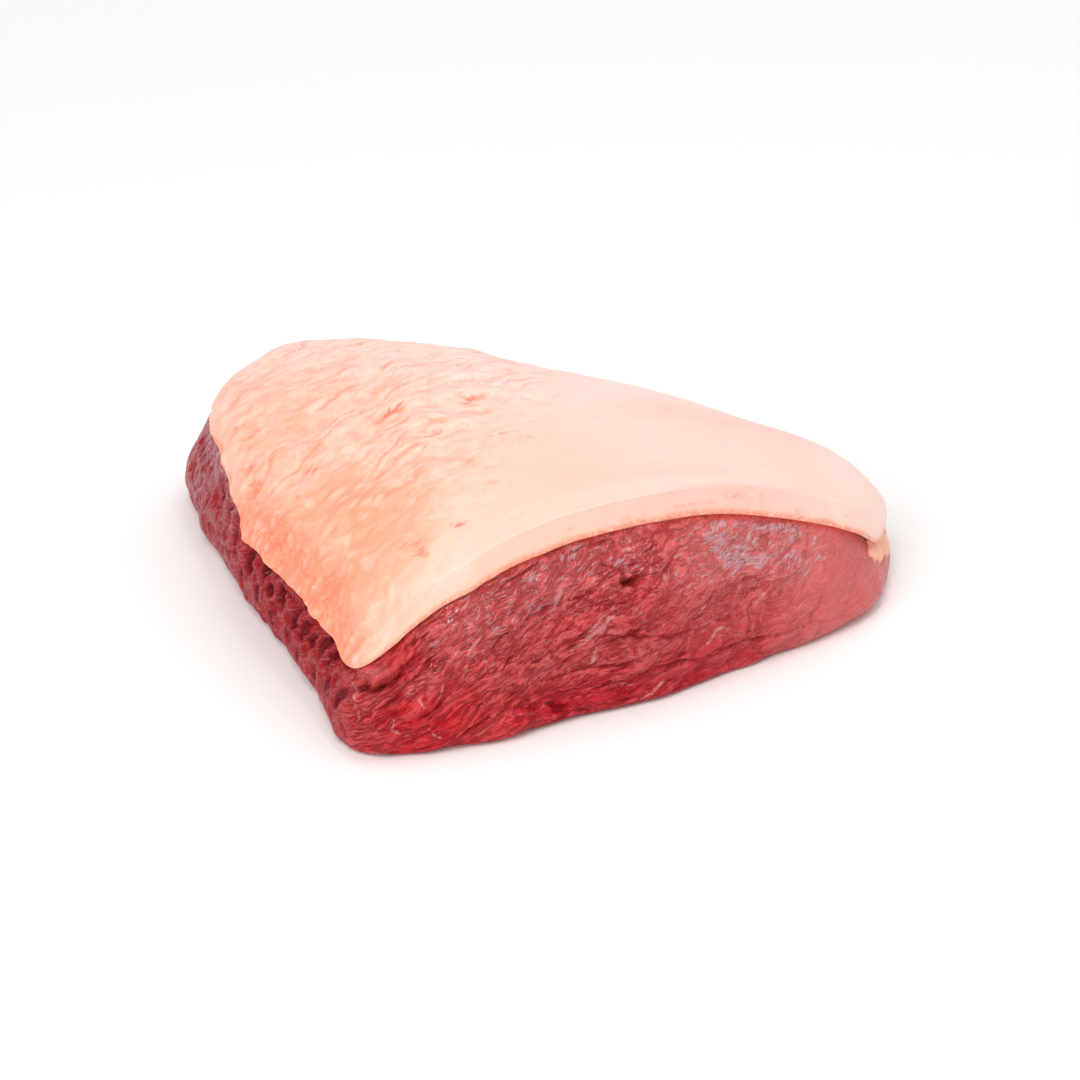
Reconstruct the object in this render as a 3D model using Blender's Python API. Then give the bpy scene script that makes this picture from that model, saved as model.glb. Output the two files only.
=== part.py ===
"""Raw picanha, the cap of a beef rump: a three-cornered lean muscle lying flat on its cut side,
with the fat cap left on top of it.

Sizes below are in millimetres and the objects are in metres, +Z up. +X runs along the long front
cut towards the thin tip, and the front cut faces -Y. The origin is under the middle of the piece.
"""

import math

import bmesh
import bpy
import numpy as np
from mathutils import Vector, noise

MM = 0.001

# The seam is the line round the piece where the fat cap meets the lean. Each station on it gives
# x, y, the height of the seam, how far the lean swells out below it, and the depth of fat above it.
# The stations run anticlockwise from the near corner, and the seam is a smooth curve through them.
SEAM_STATIONS = {
    "near_corner": (-45.5, -85, 26.5, 11, 9.5),
    "front_rise": (-24.5, -77.5, 38.5, 18, 10.5),
    "front_shoulder": (6.5, -62, 48.5, 20, 10.5),
    "front_crest": (37.5, -49.5, 51, 19.5, 10.5),
    "front_fall": (55.5, -41, 49, 16, 11),
    "front_slope": (75.5, -33.5, 43.5, 11.5, 11.5),
    "tip_front": (98.5, -21, 32, 6, 11.5),
    "tip": (107.5, -8, 21, 5, 14),
    "tip_back": (110.5, 11, 26, 5, 7.5),
    "back_slope": (60, 44, 37, 7.5, 7.5),
    "back_middle": (4.5, 65.5, 41, 7.5, 7.5),
    "back_shoulder": (-42, 85, 41, 8, 8),
    "far_corner": (-90, 84.5, 37.5, 9, 8.5),
    "left_back": (-102.5, 63, 35, 13, 9.5),
    "left_upper": (-101.5, 39, 35.5, 9.5, 9.5),
    "left_middle": (-93, 8, 35, 5, 9),
    "left_lower": (-85, -19, 29.5, 1, 8.5),
    "left_foot": (-59, -66.5, 26, 3, 9),
}

CENTRE = (-2.0, -7.0)  # plan point that the rings of both pieces close on
SEGMENTS = 128  # steps round the piece
STEPS_BETWEEN_STATIONS = 24  # steps of the seam curve before it is spaced evenly
CORNER_EASING = 4  # passes that ease the outward directions round the tight corners

# Fat cap
FAT_COLOUR, FAT_ROUGHNESS = (0.95, 0.68, 0.54), 0.5
FAT_MIDDLE = 9.0  # depth of fat over the middle of the lean
CROWN_RISE = 13.5  # how much the middle of the cap bulges above a skin stretched across its rim
CROWN_POWER = 2.2  # 2 is a plain dome, and more keeps the middle flatter
RIM_FADE = 1.35  # above 1, the ups and downs of the rim die out sooner towards the middle
CAP_RINGS = (*np.linspace(0, 0.84, 9), 0.9, 0.95)  # shares of the way from the centre to the seam
FAT_EDGE_ROUND = 3.2  # radius where the cap turns down into its cut edge
FAT_EDGE_TURNS = (15, 50, 85)  # degrees round that radius
FAT_OVERHANG = 0.7  # how far the cut edge of the fat stands out past the seam
FAT_LUMP = 0.8  # height of the shallow lumps of the cap
FAT_LUMP_SPAN = 24.0  # and the distance from one to the next
SMOOTH_FAT_FROM, SMOOTH_FAT_TO = -27.0, 46.0  # the lumps die down between these, along X
SMOOTH_FAT_LUMP = 0.4  # to this share of their height
LIP_THICKNESS = 1.1  # the cut edge turns under over this height
TRIM_RAGGED = 1.5  # how unevenly the cap is trimmed along the left side
TRIM_SPAN = 10.0
TRIM_CLEAN_FROM, TRIM_CLEAN_TO = -55.0, 36.0  # the trim gets cleaner between these, along X
TRIM_CLEAN = 0.3  # and keeps this share of its raggedness
LAYER_GAP = 0.3  # kept clear between the fat and the lean

# Lean muscle
LEAN_COLOUR, LEAN_ROUGHNESS = (0.47, 0.07, 0.07), 0.38
SEAM_INSET = 0.4  # the lean's upper edge lies this far inside the seam
FOOT_TUCK = 6.0  # the resting face ends this far inside the swell
SIDE_BULGE = 1.2  # how far the side's guide points stand outside the swell itself
WIDEST_AT = 0.4  # height of the side's widest guide point, as a share of the seam's height
SHOULDER_AT = 0.75  # the same for the guide point of its upper slope
SHOULDER_SWELL = 0.45  # and the share of the swell that is left there
COVERED_RINGS = (0.0, 0.3, 0.55, 0.76, 0.9)  # shares of the way from the centre to the seam
SIDE_RINGS = 14
UNDERSIDE_RINGS = (0.93, 0.7, 0.35, 0.0)  # shares of the way from the centre to the foot
BUNDLE_LUMP = 1.4  # relief of the muscle bundles on the cut sides
BUNDLE_SPAN = 20.0
GRAIN_RELIEF = 1.0  # relief of the coarse grain along the fibres
GRAIN_SPAN = 6.4
GRAIN_STRETCH = 0.72  # how much longer than wide a ridge of the grain is, 0 to 1
GRAIN_RUN = (0.78, 0.25, 0.57)  # the way that the fibres run: up and towards the tip
CLEFT_DEPTH = 2.4  # the dark cleft between two bundles, low along the front
CLEFT_WIDTH = 2.9
CLEFT_HEIGHT = 12.0  # its height at its left end
CLEFT_FALL = 0.75  # the share of that height that it loses by its right end
CLEFT_ENDS = (-18.0, 93.0)  # its ends, along X
FRONT_FROM, FRONT_FULL = -0.3, -0.7  # the front is where the outward direction's Y passes these


# ---------------------------------------------------------------- the seam and its directions


def curve_between(before, start, end, after, share):
    """A point between start and end, on the smooth curve that also passes through their neighbours."""
    gap_before = math.dist(before[:2], start[:2])
    gap = math.dist(start[:2], end[:2])
    gap_after = math.dist(end[:2], after[:2])
    leave = gap * (
        (start - before) / gap_before - (end - before) / (gap_before + gap) + (end - start) / gap
    )
    arrive = gap * (
        (end - start) / gap - (after - start) / (gap + gap_after) + (after - end) / gap_after
    )
    square, cube = share**2, share**3
    return (
        (2 * cube - 3 * square + 1) * start
        + (cube - 2 * square + share) * leave
        + (3 * square - 2 * cube) * end
        + (cube - square) * arrive
    )


def seam_rows():
    """The seam at SEGMENTS places evenly spaced along it, one row of station values for each."""
    stations = [np.array(row, float) for row in SEAM_STATIONS.values()]
    total = len(stations)
    fine = []
    for i in range(total):
        around = [stations[(i + k) % total] for k in (-1, 0, 1, 2)]
        for step in range(STEPS_BETWEEN_STATIONS):
            fine.append(curve_between(*around, step / STEPS_BETWEEN_STATIONS))
    fine.append(fine[0])
    fine = np.array(fine)
    lengths = np.linalg.norm(np.diff(fine[:, :2], axis=0), axis=1)
    along = np.concatenate([[0], np.cumsum(lengths)])
    places = np.linspace(0, along[-1], SEGMENTS, endpoint=False)
    return np.column_stack([np.interp(places, along, column) for column in fine.T])


def outward(plan):
    """Unit directions that point out of the piece in plan, eased round the tight corners."""
    along = np.roll(plan, -1, axis=0) - np.roll(plan, 1, axis=0)
    out = np.column_stack([along[:, 1], -along[:, 0]])
    for _ in range(CORNER_EASING):
        out = np.roll(out, 1, axis=0) + 2 * out + np.roll(out, -1, axis=0)
        out /= np.linalg.norm(out, axis=1, keepdims=True)
    return out


ROWS = seam_rows()
PLAN = ROWS[:, :2]
SEAM_HEIGHT, SWELL, FAT_DEPTH = ROWS[:, 2], ROWS[:, 3], ROWS[:, 4]
OUT = outward(PLAN)
MIDDLE = np.array(CENTRE)


def ring_towards_centre(outline, share, heights):
    """The outline shrunk to a share of its way out from the centre, at those heights."""
    return np.column_stack([MIDDLE + (outline - MIDDLE) * share, heights])


def ring_moved_out(reach, heights):
    """The seam's outline moved outwards by the reach, at those heights."""
    return np.column_stack([PLAN + OUT * reach[:, None], heights])


def stretched_skin(rim_heights, share):
    """Heights of a skin stretched across the rim, on the ring at that share of the way out."""
    waves = np.fft.rfft(rim_heights)
    return np.fft.irfft(waves * share ** (np.arange(len(waves)) ** RIM_FADE), len(rim_heights))


def smooth_step(low, high, value):
    """0 below low and 1 above high, with an S-shaped rise between them."""
    share = np.clip((value - low) / (high - low), 0, 1)
    return share * share * (3 - 2 * share)


# ---------------------------------------------------------------- the fat cap


def cap_top(share):
    """Height of the cap's upper face on the ring at that share of the way out."""
    skin = stretched_skin(SEAM_HEIGHT + FAT_DEPTH, share)
    return skin + CROWN_RISE * (1 - share**CROWN_POWER)


def lean_top(share):
    """Height of the lean under the cap. The fat is as deep as each station says at its edge."""
    depth = stretched_skin(FAT_DEPTH, share) * share + FAT_MIDDLE * (1 - share)
    return cap_top(share) - depth


def cap_lumps(ring):
    """Shallow lumps of the fat, which is rougher over the left half than near the tip."""
    smoothed = smooth_step(SMOOTH_FAT_FROM, SMOOTH_FAT_TO, ring[:, 0])
    lumps = np.array([noise.noise(Vector(point) / FAT_LUMP_SPAN) for point in ring])
    return FAT_LUMP * lumps * (1 - (1 - SMOOTH_FAT_LUMP) * smoothed)


def edge_trim():
    """How far the knife left the cap's edge out past its overhang, mostly along the left side."""
    cleaned = smooth_step(TRIM_CLEAN_FROM, TRIM_CLEAN_TO, PLAN[:, 0])
    waver = np.array([0.5 + noise.noise(Vector((x, y, 0)) / TRIM_SPAN) for x, y in PLAN])
    return TRIM_RAGGED * waver * (1 - (1 - TRIM_CLEAN) * cleaned)


def cap_rings():
    """Rings of the fat cap, from the middle of its top to the middle of its underside."""
    rings = []
    for share in CAP_RINGS:
        ring = ring_towards_centre(PLAN, share, cap_top(share))
        ring[:, 2] += cap_lumps(ring)
        rings.append(ring)
    edge = FAT_OVERHANG + edge_trim()
    for turn in np.radians(FAT_EDGE_TURNS):
        reach = edge + FAT_EDGE_ROUND * (math.sin(turn) - 1)
        drop = FAT_EDGE_ROUND * (1 - math.cos(turn))
        rings.append(ring_moved_out(reach, SEAM_HEIGHT + FAT_DEPTH - drop))
    lip = SEAM_HEIGHT + LAYER_GAP
    rings.append(ring_moved_out(edge, lip + LIP_THICKNESS))
    rings.append(ring_moved_out(edge / 2, lip))
    for share in reversed(COVERED_RINGS):
        rings.append(ring_towards_centre(PLAN, share, lean_top(share) + LAYER_GAP))
    return rings


# ---------------------------------------------------------------- the lean muscle


def side_ring(climb):
    """The ring of the plain side at that climb, from the foot at 0 up to the seam at 1."""
    guides = (
        (SWELL - FOOT_TUCK, 0 * SEAM_HEIGHT),
        (SWELL + SIDE_BULGE, 0 * SEAM_HEIGHT),
        (SWELL + SIDE_BULGE, WIDEST_AT * SEAM_HEIGHT),
        (SWELL * SHOULDER_SWELL + SIDE_BULGE, SHOULDER_AT * SEAM_HEIGHT),
        (0 * SWELL - SEAM_INSET, SEAM_HEIGHT),
    )
    last = len(guides) - 1
    weights = [math.comb(last, k) * climb**k * (1 - climb) ** (last - k) for k in range(last + 1)]
    reach = sum(weight * guide[0] for weight, guide in zip(weights, guides))
    height = sum(weight * guide[1] for weight, guide in zip(weights, guides))
    return ring_moved_out(reach, height)


def grain(ring):
    """Bundles and coarse grain of the cut side, which run along the fibres."""
    run = Vector(GRAIN_RUN).normalized()
    relief = []
    for point in ring:
        place = Vector(point)
        across = place - run * (place.dot(run) * GRAIN_STRETCH)
        bundle = BUNDLE_LUMP * noise.noise(place / BUNDLE_SPAN)
        relief.append(bundle + GRAIN_RELIEF * noise.noise(across / GRAIN_SPAN))
    return np.array(relief)


def cleft(ring):
    """Depth of the long cleft, which starts low on the front and sinks towards the tip."""
    left, right = CLEFT_ENDS
    along = np.clip((ring[:, 0] - left) / (right - left), 0, 1)
    height = CLEFT_HEIGHT * (1 - CLEFT_FALL * along)
    on_front = smooth_step(FRONT_FROM, FRONT_FULL, OUT[:, 1])
    profile = np.exp(-(((ring[:, 2] - height) / CLEFT_WIDTH) ** 2))
    return CLEFT_DEPTH * profile * on_front * np.sqrt(np.sin(math.pi * along))


def lean_rings():
    """Rings of the lean, from the middle of its covered top to the middle of its underside."""
    rings = [ring_towards_centre(PLAN, share, lean_top(share)) for share in COVERED_RINGS]
    for climb in np.linspace(1, 0, SIDE_RINGS):
        ring = side_ring(climb)
        fade = math.sqrt(max(0, math.sin(math.pi * climb)))  # the seam and the foot stay plain
        ring[:, :2] += OUT * ((grain(ring) - cleft(ring)) * fade)[:, None]
        rings.append(ring)
    foot = rings[-1][:, :2]
    for share in UNDERSIDE_RINGS:
        rings.append(ring_towards_centre(foot, share, 0 * SEAM_HEIGHT))
    return rings


# ---------------------------------------------------------------- objects


def material(name, colour, roughness):
    """A plain finish for one of the two layers."""
    finish = bpy.data.materials.new(name)
    finish.use_nodes = True
    shader = finish.node_tree.nodes["Principled BSDF"]
    shader.inputs["Base Color"].default_value = (*colour, 1)
    shader.inputs["Roughness"].default_value = roughness
    shader.inputs["Metallic"].default_value = 0
    finish.diffuse_color = (*colour, 1)
    return finish


def wrapped_ball(name, rings, finish, collection):
    """A ball whose rows are drawn onto the rings: its two poles are the first and the last."""
    rows = len(rings) - 1
    ball = bmesh.new()
    bmesh.ops.create_uvsphere(ball, u_segments=SEGMENTS, v_segments=rows, radius=1)
    for vertex in ball.verts:
        row = round(math.acos(max(-1, min(1, vertex.co.z))) / math.pi * rows)
        turn = math.atan2(vertex.co.y, vertex.co.x) / (2 * math.pi)
        vertex.co = Vector(rings[row][round(turn * SEGMENTS) % SEGMENTS]) * MM
    mesh = bpy.data.meshes.new(name)
    ball.to_mesh(mesh)
    ball.free()
    mesh.materials.append(finish)
    mesh.shade_smooth()
    mesh.set_sharp_from_angle(angle=math.radians(50))
    piece = bpy.data.objects.new(name, mesh)
    collection.objects.link(piece)
    facets = piece.modifiers.new("facets", "TRIANGULATE")
    facets.quad_method = "SHORTEST_DIAGONAL"
    return piece


def stand_on_origin(pieces):
    """Moves the pieces together so that the origin is under the middle of their common box."""
    points = np.array([vertex.co[:] for piece in pieces for vertex in piece.data.vertices])
    low, high = points.min(axis=0), points.max(axis=0)
    middle = (low + high) / 2
    for piece in pieces:
        piece.location = (-middle[0], -middle[1], -low[2])


def build():
    """Clears the scene and makes the two layers."""
    for old in list(bpy.data.objects):
        bpy.data.objects.remove(old, do_unlink=True)
    collection = bpy.data.collections.new("picanha")
    bpy.context.scene.collection.children.link(collection)
    lean_finish = material("lean_beef", LEAN_COLOUR, LEAN_ROUGHNESS)
    fat_finish = material("beef_fat", FAT_COLOUR, FAT_ROUGHNESS)
    lean = wrapped_ball("lean_muscle", lean_rings(), lean_finish, collection)
    fat = wrapped_ball("fat_cap", cap_rings(), fat_finish, collection)
    stand_on_origin([lean, fat])


build()
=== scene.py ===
"""A raw picanha as it lies on a pale surface: the lean muscle with its cut grain, and the fat cap.

Sizes below are in millimetres unless a name says otherwise. +X runs along the front cut towards the
thin tip, the front cut faces -Y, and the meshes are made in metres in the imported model's place.
"""

import math
import random

import bmesh
import bpy
import numpy as np
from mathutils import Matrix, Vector, kdtree, noise


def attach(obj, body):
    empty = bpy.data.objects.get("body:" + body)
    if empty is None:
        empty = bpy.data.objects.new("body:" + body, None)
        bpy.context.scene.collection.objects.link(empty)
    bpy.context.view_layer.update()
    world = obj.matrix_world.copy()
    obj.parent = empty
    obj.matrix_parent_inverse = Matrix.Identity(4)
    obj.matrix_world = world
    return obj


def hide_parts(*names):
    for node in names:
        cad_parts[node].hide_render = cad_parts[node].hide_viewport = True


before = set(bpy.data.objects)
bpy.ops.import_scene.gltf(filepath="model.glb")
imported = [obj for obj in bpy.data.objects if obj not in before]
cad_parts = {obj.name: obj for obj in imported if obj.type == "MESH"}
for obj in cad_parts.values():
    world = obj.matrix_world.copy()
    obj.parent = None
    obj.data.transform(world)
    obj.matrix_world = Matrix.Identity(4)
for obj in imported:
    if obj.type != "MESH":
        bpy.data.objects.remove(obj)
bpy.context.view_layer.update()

MM = 0.001

# ---------------------------------------------------------------- camera, light and floor
# The photograph looks down on the front cut with a long lens. Soft white light comes from
# everywhere, a little stronger from the front left, and small softboxes make the wet flesh glint.

EYE = Vector((4.29, -634.51, 377.04)) * MM
AIM = Vector((4.29, -15.92, 25.78)) * MM
LENS = 77.15  # mm, on a sensor 36 mm wide


def put_in_scene(name, data):
    """An object with that data, in the scene."""
    made = bpy.data.objects.new(name, data)
    bpy.context.scene.collection.objects.link(made)
    return made


def turned_to_aim(made, place):
    """The object, moved to a place and turned to look at the aim."""
    made.location = place
    made.rotation_euler = (AIM - place).to_track_quat("-Z", "Y").to_euler()
    return made


camera_data = bpy.data.cameras.new("camera")
camera_data.lens = LENS
bpy.context.scene.camera = turned_to_aim(put_in_scene("camera", camera_data), EYE)
bpy.context.scene.view_settings.view_transform = "Standard"

WORLD_LIGHT = 0.52
WORLD_COLOUR = (1.0, 0.99, 0.98, 1)
world = bpy.data.worlds.new("soft_white")
world.use_nodes = True
world.node_tree.nodes["Background"].inputs["Color"].default_value = WORLD_COLOUR
world.node_tree.nodes["Background"].inputs["Strength"].default_value = WORLD_LIGHT
bpy.context.scene.world = world

# The two wide lights are so far off that they light the floor as evenly as the meat, and the small
# softboxes make the glints. name: (kind, place in mm, width in degrees or mm, strength or watts)
LIGHTS = {
    "light_front_left": ("SUN", (-440, -600, 520), 50, 1.6),
    "light_back_right": ("SUN", (420, 430, 800), 70, 0.87),
    "softbox_front_top": ("AREA", (-60, -420, 620), 140, 1.1),
    "softbox_top": ("AREA", (150, -160, 700), 60, 0.3),
}
for name, (kind, place, width, strength) in LIGHTS.items():
    light_data = bpy.data.lights.new(name, kind)
    light_data.energy = strength
    if kind == "SUN":
        light_data.angle = math.radians(width)
    else:
        light_data.size = width * MM
    turned_to_aim(put_in_scene(name, light_data), Vector(place) * MM)

FLOOR_HALF_WIDTH = 9.0  # metres
FLOOR_DROP = 0.1  # keeps the floor just clear of the underside
FLOOR_COLOUR = (0.93, 0.92, 0.915, 1)

floor_mesh = bpy.data.meshes.new("floor")
sheet = bmesh.new()
bmesh.ops.create_grid(sheet, x_segments=1, y_segments=1, size=FLOOR_HALF_WIDTH)
bmesh.ops.translate(sheet, verts=sheet.verts, vec=(0, 0, -FLOOR_DROP * MM))
sheet.to_mesh(floor_mesh)
sheet.free()
floor_finish = bpy.data.materials.new("pale_floor")
floor_finish.use_nodes = True
floor_shader = floor_finish.node_tree.nodes["Principled BSDF"]
floor_shader.inputs["Base Color"].default_value = FLOOR_COLOUR
floor_shader.inputs["Roughness"].default_value = 0.7
floor_mesh.materials.append(floor_finish)
floor = put_in_scene("floor", floor_mesh)

# ---------------------------------------------------------------- lean muscle
# The lean is one muscle with a flat underside. Its long front cut runs along the fibres, so it shows
# slanting strands, clefts and marbling, and its left end is cut across them, so it shows their ends.

CENTRE = np.array([-2.24, -6.96])  # plan point that the rings close on
RING_POINTS = 128

LEAN_SEGMENTS = 880  # steps round the lean
SIDE_ROWS = 96  # steps from the seam down to the foot
COVERED = 4  # whole rings under the fat, counted from the first one that is whole
LEDGE_ROWS = 6  # steps down the top's outer slope, which shows where the fat draws back
LEDGE_START = 0.5  # where they start, as a share of the way from the last covered ring to the seam
UNDER_SHARES = (0.97, 0.86, 0.55, 0.25, 0.0)  # shares of the way from the centre to the foot


def smooth_step(low, high, value):
    """0 below low and 1 above high, with an S-shaped rise between them."""
    share = np.clip((value - low) / (high - low), 0, 1)
    return share * share * (3 - 2 * share)


def band(value, start, full, still_full, end):
    """1 from full to still_full, falling to 0 at start and at end."""
    return smooth_step(start, full, value) * smooth_step(end, still_full, value)


def bell(*offsets):
    """1 where every offset is 0, falling off smoothly round that place."""
    return np.exp(-sum(offset**2 for offset in offsets))


def whole_rings(node):
    """The peak of a CAD solid, and its whole rings from there down, as points in millimetres."""
    copy = bmesh.new()
    copy.from_mesh(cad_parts[node].data)
    bmesh.ops.remove_doubles(copy, verts=copy.verts, dist=0.01 * MM)
    peak = max(copy.verts, key=lambda v: (len(v.link_edges) > RING_POINTS * 0.9, v.co.z))
    peak_place = np.array(peak.co) / MM
    seen, level, rings = {peak}, [peak], []
    while level:
        if len(level) == RING_POINTS:
            ring = np.array([v.co for v in level]) / MM
            turns = np.arctan2(ring[:, 1] - CENTRE[1], ring[:, 0] - CENTRE[0]) % (2 * math.pi)
            ring = ring[np.argsort(turns)]
            if rings:
                shifts = [np.roll(ring, k, axis=0) for k in range(-6, 7)]
                ring = min(shifts, key=lambda moved: ((moved - rings[-1]) ** 2).sum())
            rings.append(ring)
        following = {e.other_vert(v) for v in level for e in v.link_edges} - seen
        seen |= following
        level = list(following)
    copy.free()
    return peak_place, np.array(rings)


def read_between(rows, places, closed=False):
    """Rows read at fractional places, on the smooth curve that passes through all of them."""
    total = len(rows)
    base = np.minimum(np.floor(places).astype(int), total - (1 if closed else 2))
    share = (places - base).reshape(-1, *[1] * (rows.ndim - 1))

    def row(offset):
        at = base + offset
        return rows[at % total if closed else np.clip(at, 0, total - 1)]

    before, start, end, after = row(-1), row(0), row(1), row(2)
    bend = 2 * before - 5 * start + 4 * end - after
    twist = 3 * (start - end) + after - before
    return start + 0.5 * share * (end - before + share * (bend + share * twist))


def finer_ring(rings, count):
    """The same rings with more points round each of them."""
    turned = np.swapaxes(rings, 0, 1)
    places = np.arange(count) * (len(turned) / count)
    return np.swapaxes(read_between(turned, places, closed=True), 0, 1)


def surface_normals(grid):
    """Outward unit normals of a grid of points, rows from the top down and columns anticlockwise."""
    round_it = np.roll(grid, -1, axis=1) - np.roll(grid, 1, axis=1)
    down = np.gradient(grid, axis=0)
    normals = np.cross(down, round_it)
    return normals / np.maximum(np.linalg.norm(normals, axis=2, keepdims=True), 1e-9)


def noise_on(grid, spans, start):
    """Smooth noise from about -1 to 1 on a grid of points, a bump about as long as its span or spans."""
    places = (grid / np.array(spans) + start).reshape(-1, 3)
    values = [noise.noise(Vector(place)) for place in places.tolist()]
    return np.array(values).reshape(grid.shape[:-1])


def gap_to_wall(grid, spans):
    """How far each point lies from the wall to the next cell, in a pattern of cells of that size."""
    places = (grid / np.array(spans)).reshape(-1, 3).tolist()
    gaps = [noise.voronoi(Vector(place))[0] for place in places]
    return np.array([far - near for near, far, *_ in gaps]).reshape(grid.shape[:-1])


def wrapped_sheet(name, grid, marks):
    """A sheet laid on the grid's rows, closed round and at its poles. The marks become attributes."""
    rows, segments = len(grid) - 1, grid.shape[1]
    sheet = bmesh.new()
    bmesh.ops.create_grid(sheet, x_segments=segments, y_segments=rows, size=0.5)
    mesh = bpy.data.meshes.new(name)
    sheet.to_mesh(mesh)
    places = np.empty(len(mesh.vertices) * 3, np.float32)
    mesh.vertices.foreach_get("co", places)
    places = places.reshape(-1, 3)
    column = np.rint((places[:, 0] + 0.5) * segments).astype(int) % segments
    row = np.rint((0.5 - places[:, 1]) * rows).astype(int)
    mesh.vertices.foreach_set("co", (grid[row, column] * MM).astype(np.float32).ravel())
    for mark, values in marks.items():
        kind, field = ("FLOAT_VECTOR", "vector") if values.ndim == 3 else ("FLOAT", "value")
        attribute = mesh.attributes.new(mark, kind, "POINT")
        attribute.data.foreach_set(field, values[row, column].astype(np.float32).ravel())
    sheet.clear()
    sheet.from_mesh(mesh)
    rim = [vertex for vertex in sheet.verts if vertex.is_boundary]
    bmesh.ops.remove_doubles(sheet, verts=rim, dist=0.001 * MM)
    sheet.to_mesh(mesh)
    sheet.free()
    mesh.shade_smooth()
    mesh.update()
    return put_in_scene(name, mesh)


lean_peak, lean_rings = whole_rings("lean_muscle")
lean_rings = finer_ring(lean_rings, LEAN_SEGMENTS)
covered, side = lean_rings[: COVERED - 1], lean_rings[COVERED - 1 :]
side = read_between(side, np.linspace(0, len(side) - 1, SIDE_ROWS + 1))
foot = side[-1]
middle = np.array([*CENTRE, 0.0])
under = [middle + (foot - middle) * share for share in UNDER_SHARES]
ledge_shares = np.linspace(LEDGE_START, 1, LEDGE_ROWS + 1)[:-1]
ledge = [covered[-1] + (side[0] - covered[-1]) * share for share in ledge_shares]
lean = np.concatenate([np.broadcast_to(lean_peak, foot.shape)[None], covered, ledge, side, under])
lean_x, lean_y, lean_z = np.moveaxis(lean, 2, 0)
first_row = COVERED + LEDGE_ROWS  # the row of the seam
climb = np.clip(1 - (np.arange(len(lean)) - first_row) / SIDE_ROWS, 0, 1)[:, None]
climb = np.broadcast_to(climb, lean.shape[:2])
lean_out = surface_normals(lean)
lean_out[:COVERED] = (0, 0, 1)
lean_out[first_row + SIDE_ROWS + 1 :] = (0, 0, -1)
on_side = (climb > 0) & (climb < 1)
ledge_fade = smooth_step(COVERED - 1, COVERED + 2, np.arange(len(lean)))[:, None]
open_side = on_side | ((climb == 1) & (ledge_fade > 0))
fade = np.sqrt(np.clip(np.sin(math.pi * climb), 0, 1))
wall_fade = np.where(climb > 0.5, ledge_fade, fade)

# Where the knife went across the fibres, and how far each place is round the piece
steps = np.linalg.norm(np.diff(foot[:, :2], axis=0, append=foot[:1, :2]), axis=1)
round_it = np.broadcast_to(np.cumsum(steps) - steps[0], lean.shape[:2])
level_out = lean_out[:, :, :2] / np.maximum(
    np.linalg.norm(lean_out[:, :, :2], axis=2, keepdims=True), 1e-6
)
across = smooth_step(0.55, 0.86, -level_out[:, :, 0])
across[:first_row] = across[first_row]
front = smooth_step(0.1, 0.5, -level_out[:, :, 1])
below_seam = lean_z[first_row] - lean_z

# The strands fan out from a point beyond the lower left, so they lie flatter towards the tip
FAN_FROM = (-130.0, -40.0)  # X and Z
FAN_RADIUS = 150.0  # where the strands have the widths below
away = lean_x - FAN_FROM[0]
up = lean_z - FAN_FROM[1]
sway = 2.6 * noise_on(lean, 24, 3.1) + 1.4 * noise_on(lean, 8, 7.7)
sway += 0.6 * noise_on(lean, 3.2, 2.8)
grain = np.stack([np.hypot(away, up), np.arctan2(up, away) * FAN_RADIUS + sway, lean_y], axis=2)
drift = 1.6 * noise_on(lean, 12, 5.3)
wall = np.stack([round_it + drift, lean_z + drift, 0 * drift], axis=2)

# Relief of the strands: rounded bundles with sharp valleys between them, and thinner ones on those
BUNDLE, BUNDLE_RELIEF = (26, 6.5, 14), 1.2
STRAND, STRAND_RELIEF = (11, 2.2, 6), 0.62
TORN, TORN_RELIEF = (6.5, 2.8, 4.5), 1.0  # rougher flesh in a band below the fat
TIP_FOOT = 1.6  # the foot of the tip stands out by this much
bundles = noise_on(grain, BUNDLE, 1.7)
strands = noise_on(grain, STRAND, 4.1)
torn = noise_on(grain, TORN, 9.2)
furrows = np.stack([bundles, strands, torn], axis=2)  # 0 at the bottom of each furrow
torn_band = smooth_step(17, 6, below_seam) * smooth_step(-34, -8, lean_x)
calm_end = 0.45 * smooth_step(25, 60, lean_x) + 0.55 * smooth_step(62, 96, lean_x)
along_relief = BUNDLE_RELIEF * (np.abs(bundles) ** 0.7 - 0.45)
along_relief += STRAND_RELIEF * (np.abs(strands) ** 0.7 - 0.4)
along_relief += TORN_RELIEF * (0.12 + 0.88 * torn_band) * (np.abs(torn) ** 0.8 - 0.35)
along_relief *= 1 - 0.9 * calm_end
along_relief += TIP_FOOT * bell((lean_x - 107) / 9, (lean_z - 6) / 5)

# Relief of the cut ends: each bundle sinks between the thin walls that part it from its neighbours
END_SIZE = (3.5, 6.4, 1.0)
END_DEPTH = 1.8
RIM_GROOVE = 1.3  # depth of the groove just below the fat's left rim
sunk = smooth_step(0.03, 0.42, gap_to_wall(wall, END_SIZE))
near_rim = smooth_step(16, 3, below_seam) * smooth_step(20, -5, lean_y)
wetter = smooth_step(-0.25, 0.35, noise_on(wall, 16, 2.2) + near_rim)
ends_relief = -END_DEPTH * sunk * (0.3 + 0.7 * wetter) + 0.5 * noise_on(wall, (7, 12, 7), 8.3)
ends_relief -= RIM_GROOVE * bell((below_seam - 1.6) / 1.5) * smooth_step(10, -20, lean_y)
relief = (1 - across) * fade * along_relief + across * wall_fade * ends_relief

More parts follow.
